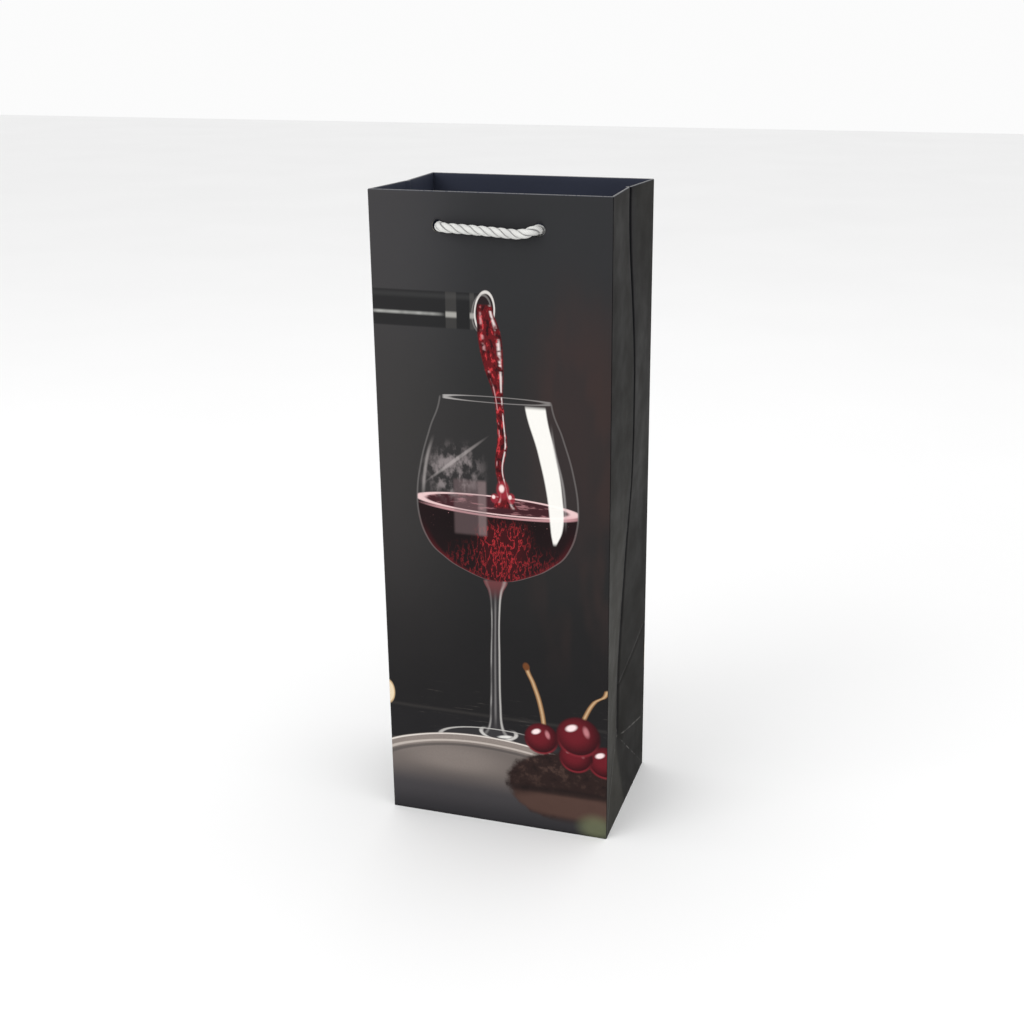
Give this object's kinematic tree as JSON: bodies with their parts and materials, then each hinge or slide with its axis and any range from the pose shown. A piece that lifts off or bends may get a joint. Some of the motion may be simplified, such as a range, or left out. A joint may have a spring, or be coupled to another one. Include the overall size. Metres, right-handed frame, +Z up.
{
  "type": "wine gift bag",
  "caption": "Tall gusseted paper bag for one bottle, standing open, with a printed front, turned-in top edge, folding base and knotted rope handles tucked inside.",
  "frame": {"origin": "middle of the footprint, on the surface that the bag stands on", "axes": "+Z up, the front panel faces -Y, the width runs along X"},
  "size_m": [0.13, 0.105, 0.36],
  "materials": {
    "outer_paper": "matte",
    "inner_paper": "matte",
    "card": "matte",
    "rope": "satin"
  },
  "bodies": {
    "front": {"front_panel": "outer_paper", "front_hem": "inner_paper", "front_reinforcement_card": "card", "front_handle_rope": "rope", "front_left_knot": "rope", "front_right_knot": "rope"},
    "right_gusset_front": {"right_gusset_front": "outer_paper", "right_gusset_front_hem": "inner_paper"},
    "right_gusset_rear": {"right_gusset_rear": "outer_paper", "right_gusset_rear_hem": "inner_paper"},
    "back": {"back_panel": "outer_paper", "back_hem": "inner_paper", "back_reinforcement_card": "card", "back_lower_panel": "outer_paper", "side_seam_flap": "inner_paper", "back_handle_rope": "rope", "back_left_knot": "rope", "back_right_knot": "rope"},
    "left_gusset_front": {"left_gusset_front": "outer_paper", "left_gusset_front_hem": "inner_paper"},
    "left_gusset_rear": {"left_gusset_rear": "outer_paper", "left_gusset_rear_hem": "inner_paper"},
    "base": {"bottom_front_flap": "outer_paper", "bottom_back_flap": "outer_paper", "bottom_left_flap": "outer_paper", "bottom_right_flap": "outer_paper", "base_board": "card", "left_base_gusset": "outer_paper", "right_base_gusset": "outer_paper"}
  },
  "joints": [
    {"name": "right_front_gusset_fold", "type": "hinge", "parent": "front", "child": "right_gusset_front", "pos_m": [0.06465, -0.04465, 0], "axis": [0, 0, 1], "range_deg": [0, 70]},
    {"name": "right_rear_gusset_fold", "type": "hinge", "parent": "right_gusset_front", "child": "right_gusset_rear", "pos_m": [0.065, 0, 0], "axis": [0, 0, 1], "range_deg": [-140, 0]},
    {"name": "back_panel_fold", "type": "hinge", "parent": "right_gusset_rear", "child": "back", "pos_m": [0.06465, 0.04465, 0], "axis": [0, 0, 1], "range_deg": [0, 70], "deforming": ["back_lower_panel"]},
    {"name": "left_front_gusset_fold", "type": "hinge", "parent": "front", "child": "left_gusset_front", "pos_m": [-0.06465, -0.04465, 0], "axis": [0, 0, 1], "range_deg": [-70, 0]},
    {"name": "left_rear_gusset_fold", "type": "hinge", "parent": "left_gusset_front", "child": "left_gusset_rear", "pos_m": [-0.065, 0, 0], "axis": [0, 0, 1], "range_deg": [0, 140]},
    {"name": "base_fold", "type": "hinge", "parent": "front", "child": "base", "pos_m": [0, -0.04465, 0.00035], "axis": [1, 0, 0], "range_deg": [0, 70], "deforming": ["left_base_gusset", "right_base_gusset"]}
  ],
  "couplings": [
    {"joint": "right_rear_gusset_fold", "follows": "right_front_gusset_fold", "ratio": -2},
    {"joint": "back_panel_fold", "follows": "right_front_gusset_fold", "ratio": 1},
    {"joint": "left_front_gusset_fold", "follows": "right_front_gusset_fold", "ratio": -1},
    {"joint": "left_rear_gusset_fold", "follows": "right_front_gusset_fold", "ratio": 2},
    {"joint": "base_fold", "follows": "right_front_gusset_fold", "ratio": 1}
  ]
}
